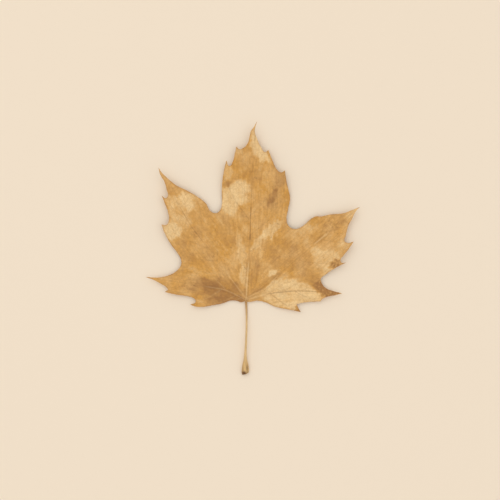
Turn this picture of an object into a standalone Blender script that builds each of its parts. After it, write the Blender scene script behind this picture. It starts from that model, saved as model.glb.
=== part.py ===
"""A dried maple leaf lying on its underside: blade, ribs and stalk, grown as one piece.

Metres, +Z up. The origin is on the surface that the leaf lies on, under the middle of its box.
+Y runs to the tip of the middle lobe, and +X to the right-hand lobes as seen from above.
The leaf is drawn in millimetres from the foot of its blade, where the stalk and the ribs meet.
"""

import math

import bmesh
import bpy
from mathutils import Vector

MM = 0.001

# Blade: a thin sheet, made on a grid and trimmed to the outline.
BLADE_THICKNESS = 0.35
GRID_STEP = 3.5
GRID_MARGIN = 4.0
OUTLINE_STEPS = 2
CUTTER_HALF_HEIGHT = 20.0
SURFACE_BLOCK_SIDE = 360.0

# Ribs under the blade: as thick as the stalk at the foot, thin towards the lobe tips.
RIB_RADIUS_FOOT = 0.8
RIB_RADIUS_END = 0.28
RIB_TAPER = 110.0
RIB_REACH = 0.88
RIB_POINT_EVERY = 5.0

# How the dried blade lies: flat on its ribs in the middle, lobes curling up towards their tips.
PRESSED_FLAT = 0.18
LIE_CENTRE = (2.5, 29.0)
LIE_RADII = (37.0, 40.0)
CURL_RISE = 4.2
CURL_SWING = 0.22
CURL_SWING_TURN = 0.3
FOLD_RISE = 2.1
FOLD_WIDTH = 13.0
RIPPLE = 0.55
RIPPLE_START = 8.0
RIPPLE_LENGTH = (9.5, 11.0)
RIPPLE_PHASE = (0.8, -0.4)

# Ribs and stalk are tubes with eight sides, which is what this bevel resolution gives.
TUBE_BEVEL_RESOLUTION = 2
WELD_DISTANCE = 0.001

# Stalk: x, y, height of the middle, radius.
STALK = [
    (0.1, 3.0, 0.76, 0.72),
    (0.2, -2.5, 0.85, 0.72),
    (0.4, -10.0, 1.7, 0.7),
    (0.4, -18.0, 2.7, 0.74),
    (0.1, -27.0, 3.2, 0.8),
    (-0.3, -35.0, 2.7, 0.85),
    (-0.4, -40.0, 2.1, 1.1),
    (-0.5, -44.0, 1.7, 1.4),
    (-0.5, -47.5, 1.5, 1.4),
]
# Swollen foot of the stalk, an egg flattened from above.
FOOT_CENTRE = (-0.45, -47.4, 1.45)
FOOT_RADII = (2.55, 4.5, 1.5)
FOOT_SEGMENTS = 16
FOOT_RINGS = 10

LEAF_COLOUR = (0.58, 0.35, 0.12, 1.0)
LEAF_ROUGHNESS = 0.72

SHARP = "VECTOR"
ROUND = "AUTO"

# The outline, anticlockwise from the right of the stalk. Lobe tips and teeth are sharp.
RIGHT_BASAL_LOBE = [
    (1.0, -0.5, SHARP),
    (3.0, -0.6, ROUND),
    (7.5, 0.2, ROUND),
    (13.0, -0.7, ROUND),
    (20.5, -4.0, ROUND),
    (30.5, -6.0, ROUND),
    (38.2, -7.7, SHARP),
    (36.3, -4.3, ROUND),
    (35.2, -2.2, SHARP),
    (40.0, -1.2, ROUND),
    (52.0, -0.3, SHARP),
    (53.4, 1.3, ROUND),
    (57.0, 3.0, ROUND),
    (62.0, 4.0, ROUND),
    (67.2, 5.3, SHARP),
    (60.0, 7.3, ROUND),
    (56.2, 8.8, ROUND),
    (53.0, 12.5, ROUND),
    (52.5, 15.8, ROUND),
]
RIGHT_LOBE = [
    (55.5, 18.4, ROUND),
    (62.3, 23.0, ROUND),
    (70.0, 27.0, SHARP),
    (67.0, 26.8, ROUND),
    (66.0, 28.5, ROUND),
    (68.0, 31.7, ROUND),
    (72.0, 36.7, ROUND),
    (75.2, 41.5, SHARP),
    (71.0, 40.7, ROUND),
    (69.0, 42.0, ROUND),
    (69.8, 46.0, ROUND),
    (71.5, 52.5, ROUND),
    (74.6, 58.5, ROUND),
    (76.5, 62.4, ROUND),
    (79.5, 65.7, SHARP),
    (73.5, 63.3, ROUND),
    (68.0, 61.4, ROUND),
    (59.0, 60.5, ROUND),
    (52.0, 59.1, ROUND),
    (49.0, 59.2, ROUND),
    (45.0, 57.0, ROUND),
    (40.0, 52.6, ROUND),
    (34.5, 50.4, ROUND),
]
MIDDLE_LOBE = [
    (29.9, 52.5, ROUND),
    (28.4, 56.5, ROUND),
    (29.4, 64.0, ROUND),
    (30.8, 72.5, ROUND),
    (29.5, 78.5, ROUND),
    (28.0, 85.5, ROUND),
    (27.2, 91.4, SHARP),
    (24.5, 90.0, ROUND),
    (21.2, 92.6, ROUND),
    (18.8, 97.6, ROUND),
    (15.6, 105.8, SHARP),
    (13.4, 104.3, ROUND),
    (10.5, 107.7, ROUND),
    (7.5, 114.0, ROUND),
    (6.1, 118.5, ROUND),
    (6.6, 122.0, ROUND),
    (7.7, 125.4, SHARP),
    (5.3, 121.4, ROUND),
    (3.5, 119.0, ROUND),
    (2.5, 114.5, ROUND),
    (1.0, 110.0, ROUND),
    (-1.8, 107.1, ROUND),
    (-4.4, 106.1, ROUND),
    (-6.8, 108.0, SHARP),
    (-7.7, 103.4, ROUND),
    (-9.2, 97.8, ROUND),
    (-11.6, 94.5, ROUND),
    (-13.7, 98.2, SHARP),
    (-15.0, 93.0, ROUND),
    (-16.5, 84.0, ROUND),
    (-16.9, 75.0, ROUND),
    (-16.9, 67.0, ROUND),
    (-18.2, 63.5, ROUND),
    (-21.0, 61.5, ROUND),
]
LEFT_LOBE = [
    (-25.2, 63.2, ROUND),
    (-28.2, 68.3, ROUND),
    (-34.0, 73.0, ROUND),
    (-41.5, 77.3, ROUND),
    (-48.5, 80.7, ROUND),
    (-55.0, 86.0, ROUND),
    (-59.0, 90.0, ROUND),
    (-61.0, 93.2, SHARP),
    (-59.8, 88.4, ROUND),
    (-57.0, 83.6, ROUND),
    (-55.3, 77.5, ROUND),
    (-54.6, 73.7, ROUND),
    (-56.2, 71.9, ROUND),
    (-58.8, 73.6, SHARP),
    (-57.0, 69.0, ROUND),
    (-54.3, 61.3, ROUND),
    (-53.9, 56.6, ROUND),
    (-55.9, 53.2, ROUND),
    (-59.0, 53.5, SHARP),
    (-57.3, 48.5, ROUND),
    (-53.0, 40.5, ROUND),
    (-48.3, 34.0, ROUND),
    (-45.7, 29.5, ROUND),
    (-45.5, 25.3, ROUND),
]
LEFT_BASAL_LOBE = [
    (-48.3, 21.3, ROUND),
    (-54.0, 18.0, ROUND),
    (-61.0, 16.4, ROUND),
    (-70.1, 16.8, SHARP),
    (-65.0, 14.9, ROUND),
    (-60.5, 12.6, ROUND),
    (-55.0, 8.8, ROUND),
    (-54.7, 7.7, SHARP),
    (-56.8, 6.4, SHARP),
    (-53.5, 5.5, ROUND),
    (-47.0, 4.2, ROUND),
    (-39.5, 3.0, ROUND),
    (-36.0, 1.4, ROUND),
    (-35.3, -0.8, ROUND),
    (-39.0, -2.5, SHARP),
    (-36.0, -3.7, ROUND),
    (-31.0, -4.1, ROUND),
    (-24.5, -3.2, ROUND),
    (-16.0, -1.5, ROUND),
    (-10.5, 0.3, ROUND),
    (-6.8, 0.2, ROUND),
    (-3.6, -0.8, ROUND),
    (-1.0, -0.3, SHARP),
]
OUTLINE = RIGHT_BASAL_LOBE + RIGHT_LOBE + MIDDLE_LOBE + LEFT_LOBE + LEFT_BASAL_LOBE

# The five ribs, from the foot of the blade to the tips of the lobes.
RIBS = {
    "middle_rib": [(0.0, -0.2), (0.9, 15.0), (2.6, 38.0), (3.4, 64.0), (5.4, 105.0), (7.7, 125.4)],
    "left_basal_rib": [(0.1, 0.5), (-14.0, 7.4), (-27.0, 9.9), (-70.1, 16.8)],
    "right_basal_rib": [(-0.1, 0.9), (15.8, 4.9), (26.0, 6.3), (38.5, 7.0), (67.2, 5.3)],
    "left_rib": [(0.2, 1.4), (-12.0, 17.5), (-31.5, 43.2), (-41.0, 56.5), (-61.0, 93.2)],
    "right_rib": [(-0.1, 1.8), (13.3, 8.8), (23.5, 18.8), (52.0, 43.2), (79.5, 65.7)],
}


def smooth_course(points, spacing):
    """Points about `spacing` apart on a smooth line through the given ones (Catmull-Rom)."""
    given = [Vector(point) for point in points]
    given = [2 * given[0] - given[1]] + given + [2 * given[-1] - given[-2]]
    course = []
    for before, start, end, after in zip(given, given[1:], given[2:], given[3:]):
        steps = max(1, round((end - start).length / spacing))
        for step in range(steps):
            t = step / steps
            bend = 2 * before - 5 * start + 4 * end - after
            twist = 3 * start - before - 3 * end + after
            course.append(start + 0.5 * t * (end - before + t * (bend + t * twist)))
    course.append(given[-2])
    return course


RIB_COURSES = {name: smooth_course(points, RIB_POINT_EVERY) for name, points in RIBS.items()}


def distance_to_course(place, course):
    """Shortest distance in plan from a place to the line through a course's points."""
    nearest = math.inf
    for start, end in zip(course, course[1:]):
        run = end - start
        t = max(0.0, min(1.0, (place - start).dot(run) / run.length_squared))
        nearest = min(nearest, (place - start - run * t).length)
    return nearest


def rib_radius(from_foot):
    """A rib's radius at a distance from the foot of the blade."""
    return RIB_RADIUS_FOOT + (RIB_RADIUS_END - RIB_RADIUS_FOOT) * min(from_foot / RIB_TAPER, 1.0)


def blade_height(x, y):
    """Height of the middle of the blade's thickness above the surface."""
    place = Vector((x, y))
    on_ribs = 2 * rib_radius(place.length) - PRESSED_FLAT
    across = (x - LIE_CENTRE[0]) / LIE_RADII[0]
    along = (y - LIE_CENTRE[1]) / LIE_RADII[1]
    beyond = max(0.0, math.hypot(across, along) - 1.0)
    swing = 1.0 - CURL_SWING * math.sin(2 * math.atan2(along, across) - CURL_SWING_TURN)
    curl = CURL_RISE * swing * beyond**2
    fold = FOLD_RISE
    edge = math.inf
    for course in RIB_COURSES.values():
        away = distance_to_course(place, course)
        fold *= 1.0 - math.exp(-((away / FOLD_WIDTH) ** 2))
        edge = min(edge, away)
    waves_across = math.sin(x / RIPPLE_LENGTH[0] + RIPPLE_PHASE[0])
    waves_along = math.cos(y / RIPPLE_LENGTH[1] + RIPPLE_PHASE[1])
    ripple = RIPPLE * waves_across * waves_along * max(0.0, edge / RIPPLE_START - 1.0)
    return on_ribs + curl + fold + ripple


# The foot of the blade stands where the middle of the leaf's box comes over the origin.
stalk_end = FOOT_CENTRE[1] - FOOT_RADII[1]
outline_x = [point[0] for point in OUTLINE]
outline_y = [point[1] for point in OUTLINE]
low_x, high_x = min(outline_x), max(outline_x)
low_y, high_y = stalk_end, max(outline_y)
BLADE_FOOT = Vector((-(low_x + high_x) / 2, -(low_y + high_y) / 2, 0.0)) * MM


def new_collection(name):
    collection = bpy.data.collections.new(name)
    bpy.context.scene.collection.children.link(collection)
    return collection


def add_object(name, data, collection):
    """Put new data in the scene, drawn from the foot of the blade."""
    obj = bpy.data.objects.new(name, data)
    obj.location = BLADE_FOOT
    collection.objects.link(obj)
    return obj


def curve_to_mesh(curve_object, collection):
    """Swap a curve object for its mesh, with the caps welded on."""
    bpy.context.view_layer.update()
    evaluated = curve_object.evaluated_get(bpy.context.evaluated_depsgraph_get())
    mesh = bpy.data.meshes.new_from_object(evaluated)
    work = bmesh.new()
    work.from_mesh(mesh)
    bmesh.ops.remove_doubles(work, verts=work.verts, dist=WELD_DISTANCE * MM)
    bmesh.ops.recalc_face_normals(work, faces=work.faces)
    work.to_mesh(mesh)
    work.free()
    name = curve_object.name
    solid = bpy.data.objects.new(name + "_solid", mesh)
    solid.matrix_world = curve_object.matrix_world
    collection.objects.link(solid)
    bpy.data.objects.remove(curve_object)
    solid.name = name
    hide_guide(solid)
    return solid


def hide_guide(obj):
    obj.hide_render = True
    obj.display_type = "WIRE"


def make_tube(name, points, collection):
    """A solid tube through (x, y, z, radius) points."""
    curve = bpy.data.curves.new(name, "CURVE")
    curve.dimensions = "3D"
    curve.bevel_depth = MM
    curve.bevel_resolution = TUBE_BEVEL_RESOLUTION
    curve.use_fill_caps = True
    spline = curve.splines.new("POLY")
    spline.points.add(len(points) - 1)
    for point, (x, y, z, radius) in zip(spline.points, points):
        point.co = (x * MM, y * MM, z * MM, 1.0)
        point.radius = radius
    return curve_to_mesh(add_object(name, curve, collection), collection)


def make_outline_cutter(collection):
    """The leaf's outline as a tall solid."""
    curve = bpy.data.curves.new("leaf_outline", "CURVE")
    curve.dimensions = "2D"
    curve.fill_mode = "BOTH"
    curve.extrude = CUTTER_HALF_HEIGHT * MM
    curve.resolution_u = OUTLINE_STEPS
    spline = curve.splines.new("BEZIER")
    spline.use_cyclic_u = True
    spline.bezier_points.add(len(OUTLINE) - 1)
    for point, (x, y, kind) in zip(spline.bezier_points, OUTLINE):
        point.co = (x * MM, y * MM, 0.0)
        point.handle_left_type = kind
        point.handle_right_type = kind
    return curve_to_mesh(add_object("leaf_outline", curve, collection), collection)


def make_rib(name, course, collection):
    """A tapering rib whose top is in the middle of the blade's thickness."""
    points = []
    for place in course[: math.ceil(len(course) * RIB_REACH)]:
        radius = rib_radius(place.length)
        points.append((place.x, place.y, blade_height(place.x, place.y) - radius, radius))
    return make_tube(name, points, collection)


def make_stalk(collection):
    """The stalk, arched between the foot of the blade and its own foot."""
    return make_tube("stalk", smooth_course(STALK, RIB_POINT_EVERY), collection)


def make_stalk_foot(collection):
    bpy.ops.mesh.primitive_uv_sphere_add(segments=FOOT_SEGMENTS, ring_count=FOOT_RINGS, radius=MM)
    foot = bpy.context.object
    foot.name = "stalk_foot"
    for vertex in foot.data.vertices:
        vertex.co = Vector(a * b for a, b in zip(vertex.co, FOOT_RADII))
    foot.location = BLADE_FOOT + Vector(FOOT_CENTRE) * MM
    move_to(foot, collection)
    hide_guide(foot)
    return foot


def make_surface_block(collection):
    """Everything below the surface that the leaf lies on."""
    side = SURFACE_BLOCK_SIDE * MM
    bpy.ops.mesh.primitive_cube_add(size=side, location=(0.0, 0.0, -side / 2))
    block = bpy.context.object
    block.name = "surface_block"
    move_to(block, collection)
    hide_guide(block)
    return block


def move_to(obj, collection):
    for old in obj.users_collection:
        old.objects.unlink(obj)
    collection.objects.link(obj)


def make_blade_sheet(name, collection):
    """A square-celled sheet over the blade, bent to the way the leaf lies."""
    width = high_x - low_x + 2 * GRID_MARGIN
    blade_low = min(outline_y)
    length = high_y - blade_low + 2 * GRID_MARGIN
    bpy.ops.mesh.primitive_grid_add(
        x_subdivisions=round(width / GRID_STEP), y_subdivisions=round(length / GRID_STEP), size=1.0
    )
    sheet = bpy.context.object
    sheet.name = name
    middle_x, middle_y = (low_x + high_x) / 2, (blade_low + high_y) / 2
    for vertex in sheet.data.vertices:
        x = middle_x + vertex.co.x * width
        y = middle_y + vertex.co.y * length
        vertex.co = Vector((x, y, blade_height(x, y))) * MM
    sheet.location = BLADE_FOOT
    move_to(sheet, collection)
    return sheet


def add_boolean(obj, operation, other):
    """A Boolean with one object, or with all the objects of a collection at once."""
    modifier = obj.modifiers.new(f"{operation.lower()}_{other.name}", "BOOLEAN")
    modifier.operation = operation
    modifier.solver = "EXACT"
    if isinstance(other, bpy.types.Collection):
        modifier.operand_type = "COLLECTION"
        modifier.collection = other
    else:
        modifier.object = other


def make_leaf_material():
    material = bpy.data.materials.new("dry_leaf")
    material.use_nodes = True
    shader = material.node_tree.nodes["Principled BSDF"]
    shader.inputs["Base Color"].default_value = LEAF_COLOUR
    shader.inputs["Roughness"].default_value = LEAF_ROUGHNESS
    shader.inputs["Metallic"].default_value = 0.0
    return material


for old_object in list(bpy.data.objects):
    bpy.data.objects.remove(old_object, do_unlink=True)

leaf_parts = new_collection("Maple leaf")
cutters = new_collection("Cutters")
ribs_and_stalk = new_collection("Ribs and stalk")

maple_leaf = make_blade_sheet("maple_leaf", leaf_parts)
thickness = maple_leaf.modifiers.new("thickness", "SOLIDIFY")
thickness.thickness = BLADE_THICKNESS * MM
thickness.offset = 0.0
maple_leaf.modifiers.new("flat_facets", "TRIANGULATE")

for rib_name, rib_course in RIB_COURSES.items():
    make_rib(rib_name, rib_course, ribs_and_stalk)
make_stalk(ribs_and_stalk)
make_stalk_foot(ribs_and_stalk)

add_boolean(maple_leaf, "INTERSECT", make_outline_cutter(cutters))
add_boolean(maple_leaf, "UNION", ribs_and_stalk)
add_boolean(maple_leaf, "DIFFERENCE", make_surface_block(cutters))

maple_leaf.data.materials.append(make_leaf_material())
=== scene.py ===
"""The looks of a dried maple leaf, upper side up, on a plain pale surface.

The leaf is drawn in millimetres from the foot of its blade, where stalk and ribs meet. The floor,
the lights and the camera are in metres. +Y runs to the tip of the middle lobe and +Z is up.
"""

import math
import bpy
import numpy as np
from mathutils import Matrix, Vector, geometry, kdtree, noise


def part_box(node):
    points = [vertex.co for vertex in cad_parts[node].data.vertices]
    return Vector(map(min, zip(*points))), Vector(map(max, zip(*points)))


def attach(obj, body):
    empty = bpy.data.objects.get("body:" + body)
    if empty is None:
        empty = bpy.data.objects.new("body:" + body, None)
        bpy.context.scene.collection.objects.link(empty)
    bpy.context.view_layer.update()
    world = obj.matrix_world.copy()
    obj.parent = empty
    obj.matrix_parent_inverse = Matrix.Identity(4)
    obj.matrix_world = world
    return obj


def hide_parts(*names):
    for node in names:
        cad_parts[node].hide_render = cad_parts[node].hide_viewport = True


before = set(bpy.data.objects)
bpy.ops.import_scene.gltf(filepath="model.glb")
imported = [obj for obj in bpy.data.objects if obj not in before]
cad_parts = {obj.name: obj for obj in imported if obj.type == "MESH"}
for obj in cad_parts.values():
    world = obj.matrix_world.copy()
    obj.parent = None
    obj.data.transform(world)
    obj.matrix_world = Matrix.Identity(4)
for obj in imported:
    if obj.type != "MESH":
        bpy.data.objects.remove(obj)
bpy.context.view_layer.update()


# ---------------------------------------------------------------------------------------------
# The blade. One thin sheet of dried leaf tissue, grown with five ribs, each with side veins to the
# teeth. It has dried lying on its ribs, so the middle is nearly flat and the lobes curl up. The
# tissue swells a little between the veins, which lie sunk on top and stand out underneath.
# ---------------------------------------------------------------------------------------------

MM = 0.001
BLADE_LEFT = -70.1
BLADE_TOP = 125.4
BLADE_THICKNESS = 0.26
MARGIN_THICKNESS = 0.14
MARGIN_BULGE = 0.06
MARGIN_WOBBLE = 0.12
MARGIN_WOBBLE_SIZE = 1.6
MESH_STEP = 0.6

# The foot of the blade, placed by how far the blade reaches to the left of it and above it.
leaf_low, leaf_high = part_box("maple_leaf")
FOOT = Vector((leaf_low.x - BLADE_LEFT * MM, leaf_high.y - BLADE_TOP * MM, 0.0))

SHARP = "VECTOR"
ROUND = "AUTO"

# The outline, anticlockwise from the right of the stalk. Lobe tips and teeth are sharp.
RIGHT_BASAL_LOBE = [
    (1.0, -0.5, SHARP),
    (3.0, -0.6, ROUND),
    (7.5, 0.2, ROUND),
    (13.0, -0.7, ROUND),
    (20.5, -4.0, ROUND),
    (30.5, -6.0, ROUND),
    (38.2, -7.7, SHARP),
    (36.3, -4.3, ROUND),
    (35.2, -2.2, SHARP),
    (40.0, -1.2, ROUND),
    (52.0, -0.3, SHARP),
    (53.4, 1.3, ROUND),
    (57.0, 3.0, ROUND),
    (62.0, 4.0, ROUND),
    (67.2, 5.3, SHARP),
    (60.0, 7.3, ROUND),
    (56.2, 8.8, ROUND),
    (53.0, 12.5, ROUND),
    (52.5, 15.8, ROUND),
]
RIGHT_LOBE = [
    (55.5, 18.4, ROUND),
    (62.3, 23.0, ROUND),
    (70.0, 27.0, SHARP),
    (67.0, 26.8, ROUND),
    (66.0, 28.5, ROUND),
    (68.0, 31.7, ROUND),
    (72.0, 36.7, ROUND),
    (75.2, 41.5, SHARP),
    (71.0, 40.7, ROUND),
    (69.0, 42.0, ROUND),
    (69.8, 46.0, ROUND),
    (71.5, 52.5, ROUND),
    (74.6, 58.5, ROUND),
    (76.5, 62.4, ROUND),
    (79.5, 65.7, SHARP),
    (73.5, 63.3, ROUND),
    (68.0, 61.4, ROUND),
    (59.0, 60.5, ROUND),
    (52.0, 59.1, ROUND),
    (49.0, 59.2, ROUND),
    (45.0, 57.0, ROUND),
    (40.0, 52.6, ROUND),
    (34.5, 50.4, ROUND),
]
MIDDLE_LOBE = [
    (29.9, 52.5, ROUND),
    (28.4, 56.5, ROUND),
    (29.4, 64.0, ROUND),
    (30.8, 72.5, ROUND),
    (29.5, 78.5, ROUND),
    (28.0, 85.5, ROUND),
    (27.2, 91.4, SHARP),
    (24.5, 90.0, ROUND),
    (21.2, 92.6, ROUND),
    (18.8, 97.6, ROUND),
    (15.6, 105.8, SHARP),
    (13.4, 104.3, ROUND),
    (10.5, 107.7, ROUND),
    (7.5, 114.0, ROUND),
    (6.1, 118.5, ROUND),
    (6.6, 122.0, ROUND),
    (7.7, 125.4, SHARP),
    (5.3, 121.4, ROUND),
    (3.5, 119.0, ROUND),
    (2.5, 114.5, ROUND),
    (1.0, 110.0, ROUND),
    (-1.8, 107.1, ROUND),
    (-4.4, 106.1, ROUND),
    (-6.8, 108.0, SHARP),
    (-7.7, 103.4, ROUND),
    (-9.2, 97.8, ROUND),
    (-11.6, 94.5, ROUND),
    (-13.7, 98.2, SHARP),
    (-15.0, 93.0, ROUND),
    (-16.5, 84.0, ROUND),
    (-16.9, 75.0, ROUND),
    (-16.9, 67.0, ROUND),
    (-18.2, 63.5, ROUND),
    (-21.0, 61.5, ROUND),
]
LEFT_LOBE = [
    (-25.2, 63.2, ROUND),
    (-28.2, 68.3, ROUND),
    (-34.0, 73.0, ROUND),
    (-41.5, 77.3, ROUND),
    (-48.5, 80.7, ROUND),
    (-55.0, 86.0, ROUND),
    (-59.0, 90.0, ROUND),
    (-61.0, 93.2, SHARP),
    (-59.8, 88.4, ROUND),
    (-57.0, 83.6, ROUND),
    (-55.3, 77.5, ROUND),
    (-54.6, 73.7, ROUND),
    (-56.2, 71.9, ROUND),
    (-58.8, 73.6, SHARP),
    (-57.0, 69.0, ROUND),
    (-54.3, 61.3, ROUND),
    (-53.9, 56.6, ROUND),
    (-55.9, 53.2, ROUND),
    (-59.0, 53.5, SHARP),
    (-57.3, 48.5, ROUND),
    (-53.0, 40.5, ROUND),
    (-48.3, 34.0, ROUND),
    (-45.7, 29.5, ROUND),
    (-45.5, 25.3, ROUND),
]
LEFT_BASAL_LOBE = [
    (-48.3, 21.3, ROUND),
    (-54.0, 18.0, ROUND),
    (-61.0, 16.4, ROUND),
    (-70.1, 16.8, SHARP),
    (-65.0, 14.9, ROUND),
    (-60.5, 12.6, ROUND),
    (-55.0, 8.8, ROUND),
    (-54.7, 7.7, SHARP),
    (-56.8, 6.4, SHARP),
    (-53.5, 5.5, ROUND),
    (-47.0, 4.2, ROUND),
    (-39.5, 3.0, ROUND),
    (-36.0, 1.4, ROUND),
    (-35.3, -0.8, ROUND),
    (-39.0, -2.5, SHARP),
    (-36.0, -3.7, ROUND),
    (-31.0, -4.1, ROUND),
    (-24.5, -3.2, ROUND),
    (-16.0, -1.5, ROUND),
    (-10.5, 0.3, ROUND),
    (-6.8, 0.2, ROUND),
    (-3.6, -0.8, ROUND),
    (-1.0, -0.3, SHARP),
]
OUTLINE = RIGHT_BASAL_LOBE + RIGHT_LOBE + MIDDLE_LOBE + LEFT_LOBE + LEFT_BASAL_LOBE

# The five ribs, from the foot of the blade to the tips of the lobes.
RIBS = {
    "middle": [(0.0, -0.2), (0.9, 15.0), (2.6, 38.0), (3.4, 64.0), (5.4, 105.0), (7.7, 125.4)],
    "left basal": [(0.1, 0.5), (-14.0, 7.4), (-27.0, 9.9), (-70.1, 16.8)],
    "right basal": [(-0.1, 0.9), (15.8, 4.9), (26.0, 6.3), (38.5, 7.0), (67.2, 5.3)],
    "left": [(0.2, 1.4), (-12.0, 17.5), (-31.5, 43.2), (-41.0, 56.5), (-61.0, 93.2)],
    "right": [(-0.1, 1.8), (13.3, 8.8), (23.5, 18.8), (52.0, 43.2), (79.5, 65.7)],
}
RIB_RADIUS_FOOT = 0.8
RIB_RADIUS_END = 0.28
RIB_TAPER = 110.0
RIB_POINT_EVERY = 5.0
RIB_FINE_STEP = 0.5

# Side veins of each rib: where each leaves the rib, where it ends, and how dark a line it draws on
# the upper side (or, below 0, how pale a line).
SIDE_VEINS = {
    "middle": [
        ((1.5, 22.0), (20.0, 42.0), 0.15),
        ((2.4, 34.0), (28.8, 58.0), 0.15),
        ((2.9, 46.0), (30.0, 73.0), 0.25),
        ((3.3, 60.0), (27.2, 91.4), 0.2),
        ((4.2, 84.0), (15.6, 105.8), 0.15),
        ((5.3, 104.0), (10.8, 108.0), 0.1),
        ((2.1, 30.0), (-18.0, 64.0), 0.15),
        ((2.8, 42.0), (-16.9, 70.0), 0.15),
        ((3.2, 56.0), (-16.0, 88.0), 0.36),
        ((3.7, 72.0), (-13.7, 98.2), 0.2),
        ((4.5, 90.0), (-6.8, 108.0), 0.2),
        ((5.3, 104.0), (0.0, 109.2), 0.1),
    ],
    "left": [
        ((-12.0, 17.5), (-45.5, 27.0), 0.15),
        ((-20.0, 28.0), (-47.0, 33.0), 0.25),
        ((-20.0, 28.0), (-24.0, 61.0), 0.2),
        ((-27.0, 37.0), (-59.0, 53.5), 0.25),
        ((-31.0, 42.5), (-34.0, 72.0), 0.2),
        ((-41.0, 56.5), (-47.0, 80.0), 0.2),
        ((-41.0, 56.5), (-58.8, 73.6), 0.25),
        ((-50.0, 72.0), (-55.0, 85.5), 0.1),
    ],
    "right": [
        ((23.5, 18.8), (53.0, 16.0), 0.15),
        ((27.0, 21.8), (29.5, 50.0), 0.15),
        ((35.0, 28.6), (70.0, 27.0), 0.25),
        ((40.0, 33.0), (44.0, 56.0), 0.2),
        ((52.0, 43.2), (75.2, 41.5), 0.25),
        ((52.0, 43.2), (58.0, 60.3), 0.2),
        ((62.0, 51.4), (72.0, 52.0), 0.15),
        ((63.0, 52.0), (69.0, 61.4), 0.15),
        ((71.0, 58.5), (75.0, 63.7), 0.1),
    ],
    "left basal": [
        ((-3.0, 1.8), (-17.0, -1.2), -0.22),
        ((-7.0, 3.9), (-24.0, -2.6), -0.18),
        ((-14.0, 7.4), (-33.0, 24.0), -0.2),
        ((-17.0, 8.0), (-39.0, -2.5), -0.18),
        ((-27.0, 9.9), (-45.0, 24.0), 0.2),
        ((-42.0, 12.3), (-56.8, 6.4), 0.25),
        ((-42.0, 12.3), (-50.0, 19.8), 0.15),
    ],
    "right basal": [
        ((8.0, 3.0), (24.0, -4.8), 0.35),
        ((17.0, 5.0), (38.2, -7.7), 0.45),
        ((34.0, 6.8), (52.0, -0.3), 0.35),
        ((15.8, 4.9), (38.0, 17.0), 0.2),
        ((26.0, 6.3), (50.0, 18.0), 0.2),
        ((38.5, 7.0), (54.0, 12.0), 0.2),
    ],
}
SIDE_VEIN_BOW = 0.045
SIDE_VEIN_POINT_EVERY = 2.0
SIDE_VEIN_TAPER = 0.65


def smooth_course(points, spacing):
    """Points about `spacing` apart on a smooth line through the given ones (Catmull-Rom)."""
    given = [np.array(point, float) for point in points]
    given = [2 * given[0] - given[1]] + given + [2 * given[-1] - given[-2]]
    course = []
    for before, start, end, after in zip(given, given[1:], given[2:], given[3:]):
        steps = max(1, round(np.linalg.norm(end - start) / spacing))
        for step in range(steps):
            t = step / steps
            bend = 2 * before - 5 * start + 4 * end - after
            twist = 3 * start - before - 3 * end + after
            course.append(start + 0.5 * t * (end - before + t * (bend + t * twist)))
    course.append(given[-2])
    return np.array(course)


def side_vein_course(rib, start, end):
    """A side vein from its rib to the margin, bowed a little towards the foot of the lobe."""
    start = rib[np.argmin(np.hypot(*(rib - start).T))]
    end = np.array(end)
    run = end - start
    sideways = np.array((-run[1], run[0])) * SIDE_VEIN_BOW
    if sideways @ (rib[-1] - rib[0]) > 0:
        sideways = -sideways
    return smooth_course([start, (start + end) / 2 + sideways, end], SIDE_VEIN_POINT_EVERY)


rib_courses = {name: smooth_course(points, RIB_POINT_EVERY) for name, points in RIBS.items()}
vein_courses = []
for rib_name, veins in SIDE_VEINS.items():
    fine_rib = smooth_course(RIBS[rib_name], RIB_FINE_STEP)
    for vein_start, vein_end, darkness in veins:
        vein_courses.append((side_vein_course(fine_rib, vein_start, vein_end), darkness))


def rib_radius(from_foot):
    """A rib's radius at a distance from the foot of the blade."""
    return RIB_RADIUS_FOOT + (RIB_RADIUS_END - RIB_RADIUS_FOOT) * np.minimum(from_foot / RIB_TAPER, 1.0)


def nearest_on(places, course):
    """How far places are from a course in plan, and how far along it their nearest points lie."""
    nearest = np.full(len(places), np.inf)
    along = np.zeros(len(places))
    travelled = 0.0
    for start, end in zip(course, course[1:]):
        run = end - start
        length = np.hypot(*run)
        t = np.clip((places - start) @ run / length**2, 0.0, 1.0)
        gap = np.hypot(*(places - start - t[:, None] * run).T)
        closer = gap < nearest
        nearest[closer] = gap[closer]
        along[closer] = (travelled + t * length)[closer]
        travelled += length
    return nearest, along


def grain(places, size, seed):
    """Smooth noise from about -1 to 1 over places in plan, with swells about `size` across."""
    return np.array([noise.noise((x / size, y / size, seed)) for x, y in places])


def ramp(value, start, end):
    """0 up to `start`, 1 past `end`, and evenly between them."""
    return np.clip((value - start) / (end - start), 0.0, 1.0)


def margin_points():
    """The outline's curve in short steps, and which of its points aren't sharp tips, as 1 or 0."""
    curve = bpy.data.curves.new("leaf_outline", "CURVE")
    spline = curve.splines.new("BEZIER")
    spline.use_cyclic_u = True
    spline.bezier_points.add(len(OUTLINE) - 1)
    knots = list(spline.bezier_points)
    for knot, (x, y, _) in zip(knots, OUTLINE):
        knot.co = (x, y, 0.0)
    for knot, (_, _, kind) in zip(knots, OUTLINE):
        knot.handle_left_type = kind
        knot.handle_right_type = kind
    points = []
    loose = []
    for index, start in enumerate(knots):
        end = knots[(index + 1) % len(knots)]
        steps = max(2, round((end.co - start.co).length / MESH_STEP))
        handles = (start.co, start.handle_right, end.handle_left, end.co)
        points += [point.xy for point in geometry.interpolate_bezier(*handles, steps + 1)[:-1]]
        loose += [start.handle_left_type == ROUND] + [True] * (steps - 1)
    bpy.data.curves.remove(curve)
    return np.array(points), np.array(loose, float)


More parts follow.
